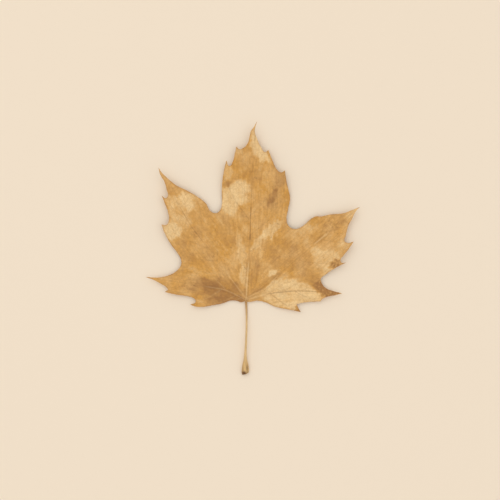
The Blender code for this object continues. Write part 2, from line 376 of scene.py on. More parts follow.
def outward(loop):
    """Unit vectors in plan, pointing out of an anticlockwise loop at each of its points."""
    run = np.roll(loop, -1, axis=0) - np.roll(loop, 1, axis=0)
    return np.stack((run[:, 1], -run[:, 0]), axis=1) / np.hypot(*run.T)[:, None]


# The margin is slightly uneven between its sharp tips.
margin, margin_loose = margin_points()
wobble = MARGIN_WOBBLE * margin_loose * grain(margin, MARGIN_WOBBLE_SIZE, seed=3.0)
margin += outward(margin) * wobble[:, None]


def inside_margin(places):
    """Which places are inside the margin, by counting crossings to the right."""
    inside = np.zeros(len(places), bool)
    x, y = places.T
    for (ax, ay), (bx, by) in zip(margin, np.roll(margin, -1, axis=0)):
        if ay != by:
            crosses = (ay > y) != (by > y)
            inside ^= crosses & (x < ax + (y - ay) / (by - ay) * (bx - ax))
    return inside


def make_finder(places):
    """A search tree that finds the nearest of these places."""
    finder = kdtree.KDTree(len(places))
    for index, (x, y) in enumerate(places):
        finder.insert((x, y, 0.0), index)
    finder.balance()
    return finder


def clear_of(places, finder, gap):
    """The places that are further than `gap` from every point in the finder."""
    return np.array([(x, y) for x, y in places if finder.find((x, y, 0.0))[2] > gap])


def rows_beside(course, offsets):
    """Points in rows beside a course, so that mesh edges run along the vein."""
    run = np.gradient(course, axis=0)
    sideways = np.stack((-run[:, 1], run[:, 0]), axis=1) / np.hypot(*run.T)[:, None]
    radius = rib_radius(np.hypot(*course.T))[:, None]
    return np.concatenate([course + sideways * radius * offset for offset in offsets])


def one_in_each_cell(places, cell):
    """The first of the places in each square of a grid, so that none crowd together."""
    kept = {}
    for place in places:
        kept.setdefault((math.floor(place[0] / cell), math.floor(place[1] / cell)), place)
    return np.array(list(kept.values()))


# Points for the mesh: the margin, rows along ribs and side veins, and an even spread between them.
# Rows lie to each side of the vein, in rib radii. Only what the margin encloses is triangulated.
RIB_ROWS = (0.0, -0.5, 0.5, -0.9, 0.9, -1.2, 1.2, -1.7, 1.7)
SIDE_VEIN_ROWS = (0.0, -1.3, 1.3)
SIDE_VEIN_KNOTS = 4
ROW_SPACING = 0.24
CLEAR_OF_MARGIN = 0.32
CLEAR_OF_ROWS = 0.36
JITTER = 0.09
JITTER_SEED = 11
ONLY_INSIDE = 1
MERGE_WITHIN = 1e-6
rows = [rows_beside(smooth_course(points, MESH_STEP), RIB_ROWS) for points in RIBS.values()]
for course, _ in vein_courses:
    knots = course[:: max(1, len(course) // SIDE_VEIN_KNOTS)]
    rows.append(rows_beside(smooth_course(knots, MESH_STEP), SIDE_VEIN_ROWS))
rows = one_in_each_cell(np.concatenate(rows), ROW_SPACING)
margin_finder = make_finder(margin)
rows = clear_of(rows[inside_margin(rows)], margin_finder, CLEAR_OF_MARGIN)
low_x, low_y = margin.min(axis=0)
high_x, high_y = margin.max(axis=0)
columns = np.arange(low_x, high_x, MESH_STEP)
lines = np.arange(low_y, high_y, MESH_STEP * math.sqrt(3) / 2)
spread = np.stack(np.meshgrid(columns, lines), axis=-1)
spread[1::2, :, 0] += MESH_STEP / 2
spread = spread.reshape(-1, 2)
spread += np.random.default_rng(JITTER_SEED).uniform(-JITTER, JITTER, spread.shape)
spread = clear_of(spread[inside_margin(spread)], margin_finder, CLEAR_OF_MARGIN)
spread = clear_of(spread, make_finder(rows), CLEAR_OF_ROWS)

plan, _, plan_faces, _, _, _ = geometry.delaunay_2d_cdt(
    [Vector(place) for place in np.concatenate((margin, rows, spread))],
    [],
    [list(range(len(margin)))],
    ONLY_INSIDE,
    MERGE_WITHIN,
    False,
)
plan = np.array([tuple(place) for place in plan])
plan_faces = np.array(plan_faces)
plan_faces = plan_faces[inside_margin(plan[plan_faces].mean(axis=1))]
first, second, third = (plan[plan_faces[:, corner]] for corner in range(3))
turn = np.cross(second - first, third - first)
plan_faces[turn < 0] = plan_faces[turn < 0][:, ::-1]

# How each point lies to the ribs, the side veins and the margin. A side vein also gives how far along
# it the point lies, from 0 at the rib to 1 at the margin, and how dark its line is.
x, y = plan.T
from_foot = np.hypot(x, y)
to_ribs = {name: nearest_on(plan, course) for name, course in rib_courses.items()}
to_side_veins = []
for course, darkness in vein_courses:
    gap, along = nearest_on(plan, course)
    to_side_veins.append((gap, along / np.hypot(*np.diff(course, axis=0).T).sum(), darkness))
to_rib = np.min([gap for gap, _ in to_ribs.values()], axis=0)
to_vein = np.minimum(to_rib, np.min([gap for gap, _, _ in to_side_veins], axis=0))
to_margin = np.array([margin_finder.find((px, py, 0.0))[2] for px, py in plan])

# How the dried blade lies: on its ribs in the middle, with the lobes curled up.
PRESSED_FLAT = 0.18
LIE_CENTRE = (2.5, 29.0)
LIE_RADII = (37.0, 40.0)
CURL_RISE = 4.2
CURL_SWING = 0.22
CURL_SWING_TURN = 0.3
FOLD_RISE = 2.1
FOLD_WIDTH = 13.0
RIPPLE = 0.55
RIPPLE_START = 8.0
RIPPLE_LENGTH = (9.5, 11.0)
RIPPLE_PHASE = (0.8, -0.4)

across = (x - LIE_CENTRE[0]) / LIE_RADII[0]
up = (y - LIE_CENTRE[1]) / LIE_RADII[1]
beyond = np.maximum(0.0, np.hypot(across, up) - 1.0)
swing = 1.0 - CURL_SWING * np.sin(2 * np.arctan2(up, across) - CURL_SWING_TURN)
fold = np.full(len(plan), FOLD_RISE)
for gap, _ in to_ribs.values():
    fold *= 1.0 - np.exp(-((gap / FOLD_WIDTH) ** 2))
waves_across = np.sin(x / RIPPLE_LENGTH[0] + RIPPLE_PHASE[0])
waves_along = np.cos(y / RIPPLE_LENGTH[1] + RIPPLE_PHASE[1])
ripple = RIPPLE * waves_across * waves_along * np.maximum(0.0, to_rib / RIPPLE_START - 1.0)
middle = 2 * rib_radius(from_foot) - PRESSED_FLAT + CURL_RISE * swing * beyond**2 + fold + ripple

# Relief of the tissue: swollen between the veins, crumpled, and fluttering at the margin.
SWELL = 0.5
SWELL_WIDTH = 2.8
CRUMPLE = 0.22
CRUMPLE_SIZE = 4.6
PUCKER = 0.07
PUCKER_SIZE = 1.8
FLUTTER = 0.6
FLUTTER_SIZE = 8.5
FLUTTER_WIDTH = 4.0
FLUTTER_START = 20.0
middle += SWELL * (1.0 - np.exp(-((to_vein / SWELL_WIDTH) ** 2)))
middle += CRUMPLE * grain(plan, CRUMPLE_SIZE, seed=1.0) + PUCKER * grain(plan, PUCKER_SIZE, seed=2.0)
flutter = FLUTTER * grain(plan, FLUTTER_SIZE, seed=5.0) * np.exp(-to_margin / FLUTTER_WIDTH)
middle += flutter * np.minimum(1.0, from_foot / FLUTTER_START)

# Upper side: each rib is a shallow trough with the rib's rounded back in it, and the side veins are
# fine grooves. The ribs rise and merge where they run into the stalk.
TROUGH_DEPTH = 0.4
TROUGH_WIDTH = 1.7
RIB_BACK = 0.36
RIB_BACK_WIDTH = 0.6
GROOVE_DEPTH = 0.15
GROOVE_WIDTH = 0.7
COLLAR_RISE = 0.28
COLLAR_WIDTH = 0.9
COLLAR_REACH = 6.0
THINNING_WIDTH = 1.2
radius = rib_radius(from_foot)
taper = radius / RIB_RADIUS_FOOT
thinning = (BLADE_THICKNESS - MARGIN_THICKNESS) * np.exp(-to_margin / THINNING_WIDTH)
half = (BLADE_THICKNESS - thinning) / 2
upper = middle + half
upper -= taper * TROUGH_DEPTH * np.exp(-((to_rib / (TROUGH_WIDTH * taper)) ** 2))
upper += taper * RIB_BACK * np.exp(-((to_rib / (RIB_BACK_WIDTH * taper)) ** 2))
upper += COLLAR_RISE * np.exp(-((to_rib / COLLAR_WIDTH) ** 2) - (from_foot / COLLAR_REACH) ** 2)
groove = np.zeros(len(plan))
for gap, share, _ in to_side_veins:
    thin = 1.0 - SIDE_VEIN_TAPER * share
    groove = np.maximum(groove, thin * np.exp(-((gap / GROOVE_WIDTH) ** 2)))
upper -= GROOVE_DEPTH * groove

# Under side: the ribs are round cords as deep as they are wide, the side veins low ridges. A cord
# hangs down by its whole depth in the middle and by half of it at its flanks, where it fades out.
RIB_FLANK = 0.3
RIDGE_HEIGHT = 0.32
RIDGE_WIDTH = 0.42
RIDGE_END = 2.0
LOWEST = 0.015
THINNEST = 0.1
share_of_rib = to_rib / radius
cord = 0.5 + 0.5 * np.sqrt(np.maximum(0.0, 1.0 - share_of_rib**2))
flank = 0.5 * np.exp(-(share_of_rib - 1.0) / RIB_FLANK)
cord = np.where(share_of_rib < 1.0, cord, flank)
vein_end = ramp(to_margin, 0.0, RIDGE_END)
ridge = np.zeros(len(plan))
for gap, share, _ in to_side_veins:
    thin = 1.0 - SIDE_VEIN_TAPER * share
    ridge = np.maximum(ridge, thin * np.exp(-((gap / (RIDGE_WIDTH * thin)) ** 2)))
under = middle - np.maximum(half, 2 * radius * cord * vein_end) - RIDGE_HEIGHT * ridge * vein_end
under = np.maximum(under, LOWEST)
upper = np.maximum(upper, under + THINNEST)

# Faces: the upper sheet, the under sheet turned over, and a rounded rim between them. An inner edge
# has a face on each side, so it comes up twice, once each way, and an edge of the rim only once.
SMOOTH_UP_TO = math.radians(55.0)
count = len(plan)
edges = np.concatenate([plan_faces[:, [a, b]] for a, b in ((0, 1), (1, 2), (2, 0))])
edges = set(map(tuple, edges.tolist()))
rim_edges = [(a, b) for a, b in edges if (b, a) not in edges]
after = dict(rim_edges)
rim = [rim_edges[0][0]]
while after[rim[-1]] != rim[0]:
    rim.append(after[rim[-1]])
rim = np.array(rim)
rim_out = outward(plan[rim])
rim_place = plan[rim] + rim_out * MARGIN_BULGE
rim_height = (upper[rim] + under[rim]) / 2
top_a, top_b = rim, np.roll(rim, -1)
low_a, low_b = top_a + count, top_b + count
mid_a = np.arange(len(rim)) + 2 * count
mid_b = np.roll(mid_a, -1)
rim_quads = np.concatenate(
    (np.stack((top_b, top_a, mid_a, mid_b), axis=1), np.stack((mid_b, mid_a, low_a, low_b), axis=1))
)
flat_places = np.concatenate((plan, plan, rim_place))
heights = np.concatenate((upper, under, rim_height))
blade_mesh = bpy.data.meshes.new("leaf_blade")
blade_mesh.from_pydata(
    np.column_stack((flat_places, heights)) * MM,
    [],
    plan_faces.tolist() + (plan_faces[:, ::-1] + count).tolist() + rim_quads.tolist(),
)
blade_mesh.shade_smooth()
blade_mesh.set_sharp_from_angle(angle=SMOOTH_UP_TO)
leaf_blade = bpy.data.objects.new("leaf_blade", blade_mesh)
leaf_blade.location = FOOT
bpy.context.scene.collection.objects.link(leaf_blade)

# Texture layout: the upper side below, the under side above it, the rim as a flange round each.
CHART_GAP = 2.0
RIM_FLANGE = 0.5
chart_low = plan.min(axis=0) - CHART_GAP
chart_size = plan.max(axis=0) + CHART_GAP - chart_low
flange = plan[rim] + rim_out * RIM_FLANGE
upper_chart = np.concatenate((plan, plan, flange)) - chart_low
under_chart = upper_chart * (-1.0, 1.0) + (chart_size[0], chart_size[1])
corners = np.zeros(len(blade_mesh.loops), int)
blade_mesh.loops.foreach_get("vertex_index", corners)
in_under = np.zeros(len(corners), bool)
in_under[3 * len(plan_faces) : 6 * len(plan_faces)] = True
in_under[6 * len(plan_faces) + 4 * len(rim) :] = True
chart = np.where(in_under[:, None], under_chart[corners], upper_chart[corners]) / (2 * chart_size[1])
blade_mesh.uv_layers.new(name="OFBake").data.foreach_set("uv", chart.astype(np.float32).ravel())

# Light and dark stretches of the dried tissue, and among the dark ones two bands of painted shadow
# beside the ribs: x, y, half length, half width, turn, strength.
LIGHT_PATCHES = [
    (9.0, 108.0, 10.5, 4.2, -65.0, 0.85),
    (11.0, 101.8, 6.2, 3.6, -30.0, 0.85),
    (6.8, 118.0, 6.0, 2.5, 80.0, 0.5),
    (-5.0, 105.5, 3.0, 2.5, 0.0, 0.35),
    (-12.5, 92.0, 2.8, 7.0, 0.0, 0.4),
    (-3.3, 80.0, 6.5, 5.5, 15.0, 0.82),
    (-10.8, 70.0, 6.3, 9.2, 0.0, 0.85),
    (-14.3, 77.0, 3.0, 3.5, 0.0, 0.7),
    (-4.2, 72.0, 5.0, 5.0, 0.0, 0.8),
    (17.4, 49.2, 10.0, 3.0, 42.0, 0.62),
    (8.6, 41.0, 7.5, 2.5, 42.0, 0.55),
    (-2.9, 33.5, 14.0, 2.9, -79.0, 0.4),
    (-1.9, 18.0, 9.0, 2.2, -82.0, 0.45),
    (19.2, 19.3, 3.2, 3.0, 0.0, 0.9),
    (31.0, 8.0, 18.5, 6.4, -7.0, 0.78),
    (29.0, 12.6, 9.0, 3.2, -3.0, 0.5),
    (27.0, 0.0, 16.0, 5.0, -17.0, 0.72),
    (45.0, 2.0, 8.0, 4.0, 0.0, 0.75),
    (34.0, -4.0, 6.0, 3.0, -10.0, 0.6),
    (56.5, 28.5, 9.5, 6.2, 20.0, 0.6),
    (49.0, 34.5, 4.0, 3.5, 0.0, 0.55),
    (57.5, 21.0, 4.5, 3.5, 0.0, 0.5),
    (67.5, 39.5, 5.0, 4.0, 30.0, 0.3),
    (42.0, 47.0, 4.0, 7.0, 0.0, 0.3),
    (75.0, 61.5, 5.0, 3.0, 40.0, 0.35),
    (-41.5, 70.0, 6.6, 5.4, -55.0, 0.76),
    (-37.0, 73.5, 4.0, 3.0, 0.0, 0.5),
    (-47.0, 64.0, 7.0, 8.0, 0.0, 0.35),
    (-52.0, 70.0, 4.0, 5.0, 0.0, 0.4),
    (-51.8, 49.4, 6.4, 5.6, -50.0, 0.9),
    (-56.5, 53.0, 3.5, 3.0, 0.0, 0.7),
    (-46.0, 55.0, 9.0, 5.0, 0.0, 0.25),
    (-57.0, 86.0, 6.0, 3.0, -55.0, 0.25),
    (-30.5, 1.4, 4.2, 2.2, 10.0, 0.6),
]
DARK_PATCHES_AND_RIB_SHADOWS = [
    (-20.0, 6.0, 21.0, 9.5, -12.0, 0.42),
    (-26.8, 12.0, 6.4, 4.2, -20.0, 0.62),
    (-18.0, 5.0, 13.0, 4.4, -20.0, 0.65),
    (-9.5, 1.6, 9.0, 3.2, -9.0, 0.8),
    (-13.0, 11.0, 9.0, 5.0, -30.0, 0.35),
    (18.6, 72.8, 6.8, 2.3, 61.0, 0.72),
    (20.5, 74.0, 11.0, 5.0, 62.0, 0.22),
    (56.0, 7.5, 9.0, 4.6, -15.0, 1.0),
    (53.0, 11.0, 4.0, 3.0, -40.0, 0.8),
    (62.0, 26.0, 5.0, 2.8, 25.0, 0.68),
    # Painted shadow, not the tissue's tone: this band along the right rib and the next beside the middle
    # rib.
    (12.5, 10.6, 13.5, 2.0, 36.0, 0.45),
    (5.8, 17.0, 11.0, 2.8, 78.0, 0.4),
    (28.0, 32.0, 17.0, 10.0, -20.0, 0.22),
    (46.0, 17.0, 8.0, 4.5, -25.0, 0.3),
    (24.5, 88.0, 5.0, 8.0, 0.0, 0.35),
    (3.5, 87.0, 8.0, 4.5, 0.0, 0.25),
    (-13.2, 81.6, 2.8, 2.8, 0.0, 0.6),
    (-12.0, 50.0, 15.0, 5.5, 85.0, 0.1),
    (-42.0, 35.0, 10.0, 5.0, -50.0, 0.18),
    (62.0, 54.0, 10.0, 5.0, 40.0, 0.26),
    (37.0, -6.0, 3.4, 3.0, 0.0, 0.75),
    (-27.0, 40.0, 17.0, 12.0, 50.0, 0.1),
    (-50.0, 11.0, 13.0, 5.0, -8.0, 0.1),
    (-21.5, 0.2, 8.5, 3.0, -6.0, 0.4),
]
PATCH_EDGE_START = 0.78
PATCH_EDGE_END = 1.26

# Patches spread along the ribs of their lobe, so their edges run out in fingers that way: how far,
# and the fingers' length, width and seed. The edges wander too: how far, size of swells, seed.
FINGER_REACH = 2.0
FINGERS = (14.0, 2.0, 9.0)
SHIFTS = ((1.7, 7.0, 21.0), (1.2, 2.1, 22.0))
rib_gaps = np.array([gap for gap, _ in to_ribs.values()])
nearest_rib = np.argmin(rib_gaps, axis=0)
along_rib = np.choose(nearest_rib, [along for _, along in to_ribs.values()])
rib_runs = np.array([course[-1] - course[0] for course in rib_courses.values()])
rib_headings = rib_runs / np.hypot(*rib_runs.T)[:, None]


def rib_streaks(length, width, seed):
    """Smooth noise from about -1 to 1, in streaks along the nearest rib."""
    places = zip(along_rib / length, to_rib / width, nearest_rib)
    return np.array([noise.noise((a, b, seed * (rib + 1))) for a, b, rib in places])


warped = plan + FINGER_REACH * rib_streaks(*FINGERS)[:, None] * rib_headings[nearest_rib]
for shift, size, seed in SHIFTS:
    warped += shift * np.stack((grain(plan, size, seed), grain(plan, size, seed + 2.0)), axis=1)


def patch_cover(patches):
    """How far the patches, which have soft edges, cover each point, from 0 to 1."""
    bare = np.ones(len(plan))
    for centre_x, centre_y, half_length, half_width, degrees, strength in patches:
        dx = warped[:, 0] - centre_x
        dy = warped[:, 1] - centre_y
        c, s = math.cos(math.radians(degrees)), math.sin(math.radians(degrees))
        reach = np.hypot((dx * c + dy * s) / half_length, (dy * c - dx * s) / half_width)
        fade = ramp(reach, PATCH_EDGE_END, PATCH_EDGE_START)
        bare *= 1.0 - strength * fade**2 * (3 - 2 * fade)
    return 1.0 - bare


# Tone runs from -1, dark, to 1, light. Besides the patches it varies in streaks (strength, length,
# width, seed) and mottles (strength, size, seed), and the dark patches on the dead tips of the
# right-hand lobes are broken up into specks.
STREAKS = ((0.26, 9.0, 1.8, 7.0), (0.15, 5.0, 0.9, 11.0))
MOTTLES = ((0.24, 8.0, 30.0), (0.22, 3.0, 31.0), (0.18, 1.4, 32.0))
SPECKLE = 1.3
SPECK_SIZE = 1.3
SPECKS_FROM_X = 46.0
SPECKS_FULL_AT_X = 52.0
light = patch_cover(LIGHT_PATCHES)
dark = patch_cover(DARK_PATCHES_AND_RIB_SHADOWS)
tone = light * (1.0 - dark) - dark
specked = dark * ramp(x, SPECKS_FROM_X, SPECKS_FULL_AT_X)
tone += SPECKLE * specked * grain(plan, SPECK_SIZE, seed=33.0)
for strength, length, width, seed in STREAKS:
    tone += strength * rib_streaks(length, width, seed)
for strength, size, seed in MOTTLES:
    tone += strength * grain(plan, size, seed)

# Lines that the ribs draw on the upper side: rib, from, to, how dark (or, below 0, how pale). A pale
# line is partly the rib's own paler colour and partly a painted highlight on its ridge, with a faint
# painted shade along each flank, in the trough beside it. Side veins' lines fade towards the margin.
RIB_LINES = [
    ("middle", -5.0, 27.0, -0.68),
    ("middle", 27.0, 42.0, 0.35),
    ("middle", 42.0, 67.0, 0.9),
    ("middle", 67.0, 120.0, 0.25),
    ("left", 0.0, 24.0, -0.27),
    ("left", 50.0, 76.0, 0.42),
    ("left", 76.0, 105.0, 0.1),
    ("right", 0.0, 26.0, -0.35),
    ("right", 26.0, 60.0, 0.2),
    ("right", 62.0, 74.0, -0.6),
    ("right", 78.0, 98.0, 0.15),
    ("left basal", 0.0, 30.0, -0.27),
    ("right basal", 0.0, 14.0, -0.4),
    ("right basal", 14.0, 52.0, 0.6),
]
LINE_HALF_WIDTH = 0.34
SIDE_LINE_HALF_WIDTH = 0.32
SIDE_LINE_TAPER = 0.7
LINE_FADE = 4.0
FLANK_GAP = 1.1
FLANK_HALF_WIDTH = 0.5
PAINTED_FLANK_SHADE = 0.45
LINE_BREAK_SIZE = 2.2
LINE_USUAL = 0.85
LINE_CHANGE = 0.7
LINE_FAINTEST = 0.2
dark_line = np.zeros(len(plan))
pale_line = np.zeros(len(plan))
for rib_name, start, end, darkness in RIB_LINES:
    gap, along = to_ribs[rib_name]
    drawn = ramp(along, start - LINE_FADE / 2, start + LINE_FADE / 2)
    drawn *= ramp(along, end + LINE_FADE / 2, end - LINE_FADE / 2)
    line = drawn * np.exp(-((gap / LINE_HALF_WIDTH) ** 2))
    # Painted shade: the faint dark line along each flank of a pale rib line, in the trough beside it.
    beside = drawn * np.exp(-(((gap - FLANK_GAP) / FLANK_HALF_WIDTH) ** 2))
    dark_line = np.maximum(dark_line, np.maximum(darkness * line, -PAINTED_FLANK_SHADE * darkness * beside))
    pale_line = np.maximum(pale_line, -darkness * line)
for gap, share, darkness in to_side_veins:
    line = (1.0 - SIDE_LINE_TAPER * share) * np.exp(-((gap / SIDE_LINE_HALF_WIDTH) ** 2))
    dark_line = np.maximum(dark_line, darkness * line)
    pale_line = np.maximum(pale_line, -darkness * line)
line_breaks = LINE_USUAL + LINE_CHANGE * grain(plan, LINE_BREAK_SIZE, seed=51.0)
dark_line *= np.clip(line_breaks, LINE_FAINTEST, 1.0)

# Underneath, ribs and side veins stand out pale. The margin browned first, more in some places.
RAISED_WIDTH = 1.3
RAISED_SIDE_VEIN = 0.77
BROWNED_WIDTH = 0.6
BROWNED_USUAL = 0.3
BROWNED_CHANGE = 0.5
BROWNED_SIZE = 5.0
raised = np.exp(-((to_rib / (RAISED_WIDTH * radius)) ** 4)) + RAISED_SIDE_VEIN * ridge
raised = np.clip(raised, 0.0, 1.0)
browned = BROWNED_USUAL + BROWNED_CHANGE * grain(plan, BROWNED_SIZE, seed=41.0)
browned = np.clip(browned * np.exp(-((to_margin / BROWNED_WIDTH) ** 2)), 0.0, 1.0)


def set_point_values(mesh, name, values):
    """Store a value for each point of a mesh, for its material to read by name."""
    mesh.attributes.new(name, "FLOAT", "POINT").data.foreach_set("value", values.astype(np.float32))


def on_both_sides(values):
    """Values of the plan's points for the upper side, the under side and the rim."""
    return np.concatenate((values, values, values[rim]))


set_point_values(blade_mesh, "light", on_both_sides(np.clip(tone, 0.0, 1.0)))
set_point_values(blade_mesh, "dark", on_both_sides(np.clip(-tone, 0.0, 1.0)))
set_point_values(blade_mesh, "dark_line", on_both_sides(dark_line))
set_point_values(blade_mesh, "pale_line", on_both_sides(pale_line))
set_point_values(blade_mesh, "raised", on_both_sides(raised))
set_point_values(blade_mesh, "browned", on_both_sides(browned))
set_point_values(blade_mesh, "along_rib", on_both_sides(along_rib))
set_point_values(blade_mesh, "across_rib", on_both_sides(to_rib))
RIM_UNDERNEATH = 0.5
underneath = np.concatenate((np.zeros(count), np.ones(count), np.full(len(rim), RIM_UNDERNEATH)))
set_point_values(blade_mesh, "underneath", underneath)


def colour(code):
    """An sRGB hex code as linear red, green, blue and alpha."""
    channels = [int(code[place : place + 2], 16) / 255 for place in (1, 3, 5)]
    return [c / 12.92 if c <= 0.04045 else ((c + 0.055) / 1.055) ** 2.4 for c in channels] + [1.0]


def across_mm(size):
    """The texture scale that makes a pattern's cells `size` millimetres across."""
    return 1000.0 / size


def add_node(tree, kind, inputs=(), **settings):
    """Add a shader node. Inputs are (socket, value) pairs, and a value may be another node's output."""
    node = tree.nodes.new("ShaderNode" + kind)
    for name, value in settings.items():
        setattr(node, name, value)
    for socket, value in inputs:
        if isinstance(value, bpy.types.NodeSocket):
            tree.links.new(value, node.inputs[socket])
        else:
            node.inputs[socket].default_value = value
    return node


# Sockets of a Mix node that mixes colours.
FACTOR, COLOUR_A, COLOUR_B, MIXED = 0, 6, 7, 2


# Dried leaf skin: dull, slightly waxy tissue, ochre with tan and brown stretches, crossed by a fine
# net of veinlets. The eye sees the soft patches first, then thin brown lines and a papery grain.
leaf_skin = bpy.data.materials.new("dried_leaf_skin")
leaf_skin.use_nodes = True
skin = leaf_skin.node_tree
skin.nodes.clear()
place = add_node(skin, "TexCoord").outputs["Object"]
mark = {}
for name in ("light", "dark", "dark_line", "pale_line", "raised", "browned", "underneath"):
    mark[name] = add_node(skin, "Attribute", attribute_name=name).outputs["Fac"]

# Tissue drifts from paler to deeper ochre over 14 mm.
drift = add_node(skin, "TexNoise", [("Vector", place), ("Scale", across_mm(14.0)), ("Detail", 2.0)])
drift_range = [("Value", drift.outputs["Fac"]), ("From Min", 0.35), ("From Max", 0.65)]
drifted = add_node(skin, "MapRange", drift_range).outputs["Result"]
ochres = [(FACTOR, drifted), (COLOUR_A, colour("#D9AA69")), (COLOUR_B, colour("#D09A4C"))]
tissue = add_node(skin, "Mix", ochres, data_type="RGBA").outputs[MIXED]

# Its cells are mottled in spots of 1.5 mm, and its fibres run along the ribs, wandering a little.
# Both are coarser than real, which is too fine to show.
FIBRE_LENGTH = 6.0
FIBRE_WIDTH = 0.8
spots = [("Vector", place), ("Scale", across_mm(1.5)), ("Detail", 5.0), ("Roughness", 0.65)]
mottle = add_node(skin, "TexNoise", spots).outputs["Fac"]
wander = add_node(skin, "TexNoise", [("Vector", place), ("Scale", across_mm(4.5)), ("Detail", 2.0)])
wander = wander.outputs["Color"]
along = add_node(skin, "Attribute", attribute_name="along_rib").outputs["Fac"]
across = add_node(skin, "Attribute", attribute_name="across_rib").outputs["Fac"]
by_rib = add_node(skin, "CombineXYZ", [("X", along), ("Y", across)]).outputs["Vector"]
in_fibres = [(0, by_rib), (1, (1 / FIBRE_LENGTH, 1 / FIBRE_WIDTH, 0.0)), (2, wander)]
fibre_place = add_node(skin, "VectorMath", in_fibres, operation="MULTIPLY_ADD").outputs["Vector"]
fibre_noise = [("Vector", fibre_place), ("Scale", 1.0), ("Detail", 4.0)]
fibres = add_node(skin, "TexNoise", fibre_noise).outputs["Fac"]
grain_height = add_node(skin, "Math", [(0, mottle), (1, fibres)], operation="ADD").outputs["Value"]
grain_range = [("Value", grain_height), ("From Min", 0.7), ("From Max", 1.3), ("To Min", 0.87)]
grained = add_node(skin, "MapRange", grain_range + [("To Max", 1.1)]).outputs["Result"]

# The net of veinlets has cells of 2.7 mm. Real veinlets are 0.1 mm wide, too fine to show, so they
# are drawn 0.3 mm wide. The net wanders, lies sunk in the skin, and shows more below than above.
NET_WANDER = 2.2 * MM
NET_SUNK = 0.6
NET_ABOVE = 0.2
NET_BELOW = 0.35
DARK_BELOW = 0.5
bend = [(0, wander), (1, (NET_WANDER, NET_WANDER, 0.0)), (2, place)]
bent_place = add_node(skin, "VectorMath", bend, operation="MULTIPLY_ADD").outputs["Vector"]
cells = [("Vector", bent_place), ("Scale", across_mm(2.7))]
to_veinlet = add_node(skin, "TexVoronoi", cells, feature="DISTANCE_TO_EDGE").outputs["Distance"]
net_range = [("Value", to_veinlet), ("From Min", 0.0), ("From Max", 0.11), ("To Min", 1.0)]
net = add_node(skin, "MapRange", net_range + [("To Max", 0.0)]).outputs["Result"]
net_above = add_node(skin, "Math", [(0, net), (1, NET_ABOVE)], operation="MULTIPLY").outputs["Value"]
net_below = add_node(skin, "Math", [(0, net), (1, NET_BELOW)], operation="MULTIPLY").outputs["Value"]
dark_below = add_node(skin, "Math", [(0, mark["dark"]), (1, DARK_BELOW)], operation="MULTIPLY")

# Scattered brown flecks, about 1 mm.
fleck_noise = [("Vector", place), ("Scale", across_mm(2.3)), ("Detail", 3.0)]
fleck_range = [("From Min", 0.66), ("From Max", 0.76), ("To Max", 0.5)]
fleck_range.append(("Value", add_node(skin, "TexNoise", fleck_noise).outputs["Fac"]))
flecks = add_node(skin, "MapRange", fleck_range).outputs["Result"]

# The upper side, from the tissue out: patches, net, veins, flecks, and the margin that died first.
top = tissue
for amount, code in (
    (mark["light"], "#EBC891"),
    # Dark patches: the tissue's own darker tone, with painted shadow beside the middle and right ribs.
    (mark["dark"], "#A37441"),
    (net_above, "#9C6D3B"),
    # Rib lines: dark ones include painted shade at the flanks of pale ones, and pale ones are partly
    # painted highlight.
    (mark["dark_line"], "#875D32"),
    (mark["pale_line"], "#E0BF8C"),
    (flecks, "#8F6236"),
    (mark["browned"], "#A8703A"),
):
    layer = [(FACTOR, amount), (COLOUR_A, top), (COLOUR_B, colour(code))]
    top = add_node(skin, "Mix", layer, data_type="RGBA").outputs[MIXED]

# The under side is paler and greyer, and its net, veins and ribs stand out lighter still.
below = tissue
for amount, code in (
    (0.7, "#D2B083"),
    # Dark patches at half strength, the painted shadow beside the ribs among them.
    (dark_below.outputs["Value"], "#A57C52"),
    (net_below, "#DEC59C"),
    (mark["raised"], "#DFC398"),
):
    layer = [(FACTOR, amount), (COLOUR_A, below), (COLOUR_B, colour(code))]
    below = add_node(skin, "Mix", layer, data_type="RGBA").outputs[MIXED]

sides = [(FACTOR, mark["underneath"]), (COLOUR_A, top), (COLOUR_B, below)]
both = add_node(skin, "Mix", sides, data_type="RGBA").outputs[MIXED]
shaded = [(FACTOR, 1.0), (COLOUR_A, both), (COLOUR_B, grained)]
skin_colour = add_node(skin, "Mix", shaded, data_type="RGBA", blend_type="MULTIPLY").outputs[MIXED]

sunk_net = [(0, net), (1, -NET_SUNK), (2, grain_height)]
relief = add_node(skin, "Math", sunk_net, operation="MULTIPLY_ADD").outputs["Value"]
papery = add_node(skin, "Bump", [("Strength", 0.5), ("Distance", 0.00014), ("Height", relief)])
dull_range = [("Value", mottle), ("From Min", 0.3), ("From Max", 0.7), ("To Min", 0.6), ("To Max", 0.8)]
dull = add_node(skin, "MapRange", dull_range).outputs["Result"]
surface = [("Base Color", skin_colour), ("Roughness", dull), ("Specular IOR Level", 0.3)]
surface.append(("Normal", papery.outputs["Normal"]))
shader = add_node(skin, "BsdfPrincipled", surface)
add_node(skin, "OutputMaterial", [("Surface", shader.outputs["BSDF"])])
blade_mesh.materials.append(leaf_skin)

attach(leaf_blade, "root")
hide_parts("maple_leaf")


# ---------------------------------------------------------------------------------------------
# The stalk. A thin woody cord that the five ribs grow out of, with a shallow channel on top. It
# arches off the surface and ends in a swollen foot with a slanted, hollow scar, where it sat on
# the twig. It has shrunk into fine lengthwise wrinkles in drying.
# ---------------------------------------------------------------------------------------------

